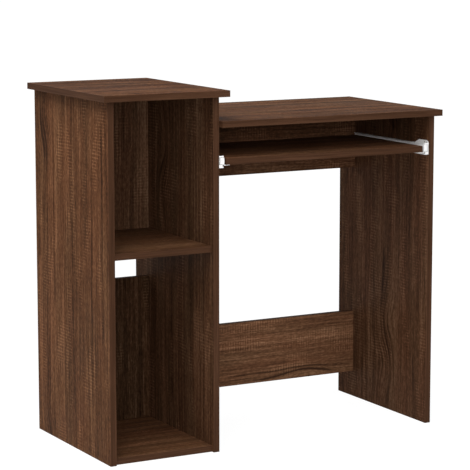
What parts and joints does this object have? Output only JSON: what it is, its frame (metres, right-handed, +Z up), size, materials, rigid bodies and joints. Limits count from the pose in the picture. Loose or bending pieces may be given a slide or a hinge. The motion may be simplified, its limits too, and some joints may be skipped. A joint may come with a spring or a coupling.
{
  "type": "computer desk with keyboard tray",
  "caption": "Compact wooden computer desk: an open storage tower on the left with shelf and cable gap, a desk top on a side panel, and a keyboard tray that pulls out on roller slides.",
  "frame": {"origin": "on the floor, under the middle of the whole desk's box", "axes": "+Z up, +X towards the desk's right side as the sitter sees it from the front, +Y towards the back"},
  "size_m": [0.9, 0.428, 0.845],
  "materials": {
    "oak_upright": "satin melamine-faced chipboard, dark brown oak print, grain running up",
    "oak_flat": "satin melamine-faced chipboard, dark brown oak print, grain running along the board",
    "edge_band": "satin printed edge band, reddish brown",
    "zinc_casting": "bare zinc die casting",
    "plated_bolt": "zinc-plated steel",
    "beech": "bare turned beech",
    "cover_foil": "printed adhesive foil, dark brown oak",
    "coated_steel": "white powder coat, semi-gloss",
    "nylon": "white moulded nylon, satin",
    "plated_rivet": "zinc-plated steel",
    "plated_screw": "zinc-plated steel"
  },
  "bodies": {
    "desk": {"tower_left_side": "oak_upright", "tower_left_side_edging": "edge_band", "tower_right_side": "oak_upright", "tower_right_side_edging": "edge_band", "tower_top": "oak_flat", "tower_top_edging": "edge_band", "tower_bottom": "oak_flat", "tower_bottom_edging": "edge_band", "tower_shelf": "oak_flat", "tower_shelf_edging": "edge_band", "tower_back_upper": "oak_upright", "tower_back_lower": "oak_upright", "tower_back_lower_edging": "edge_band", "desk_top": "oak_flat", "desk_top_edging": "edge_band", "desk_right_side": "oak_upright", "desk_right_side_edging": "edge_band", "desk_back_panel": "oak_flat", "desk_back_panel_edging": "edge_band", "foot_stretcher": "oak_flat", "foot_stretcher_edging": "edge_band", "cam_locks": "zinc_casting", "cam_bolts": "plated_bolt", "wood_dowels": "beech", "cam_covers": "cover_foil", "slide_rail_left": "coated_steel", "slide_rail_right": "coated_steel", "front_axle_left": "plated_rivet", "front_axle_right": "plated_rivet", "rail_screws": "plated_screw"},
    "tray": {"keyboard_tray": "oak_flat", "keyboard_tray_edging": "edge_band", "tray_runner_left": "coated_steel", "tray_runner_right": "coated_steel", "rear_axle_left": "plated_rivet", "rear_axle_right": "plated_rivet", "tray_screws": "plated_screw"},
    "front_roller_left": {"front_roller_left": "nylon"},
    "front_roller_right": {"front_roller_right": "nylon"},
    "rear_roller_left": {"rear_roller_left": "nylon"},
    "rear_roller_right": {"rear_roller_right": "nylon"}
  },
  "joints": [
    {"name": "tray_slide", "type": "slide", "parent": "desk", "child": "tray", "axis": [0, -1, 0], "range_m": [0, 0.23]},
    {"name": "front_roller_left_spin", "type": "hinge", "parent": "desk", "child": "front_roller_left", "pos_m": [-0.1454, -0.181, 0.6784], "axis": [1, 0, 0], "continuous": true},
    {"name": "front_roller_right_spin", "type": "hinge", "parent": "desk", "child": "front_roller_right", "pos_m": [0.4164, -0.181, 0.6784], "axis": [1, 0, 0], "continuous": true},
    {"name": "rear_roller_left_spin", "type": "hinge", "parent": "tray", "child": "rear_roller_left", "pos_m": [-0.1454, 0.111, 0.6772], "axis": [1, 0, 0], "continuous": true},
    {"name": "rear_roller_right_spin", "type": "hinge", "parent": "tray", "child": "rear_roller_right", "pos_m": [0.4164, 0.111, 0.6772], "axis": [1, 0, 0], "continuous": true}
  ],
  "couplings": [
    {"joint": "front_roller_left_spin", "follows": "tray_slide", "rad_per_m": 100},
    {"joint": "front_roller_right_spin", "follows": "tray_slide", "rad_per_m": 100},
    {"joint": "rear_roller_left_spin", "follows": "tray_slide", "rad_per_m": 100},
    {"joint": "rear_roller_right_spin", "follows": "tray_slide", "rad_per_m": 100}
  ]
}
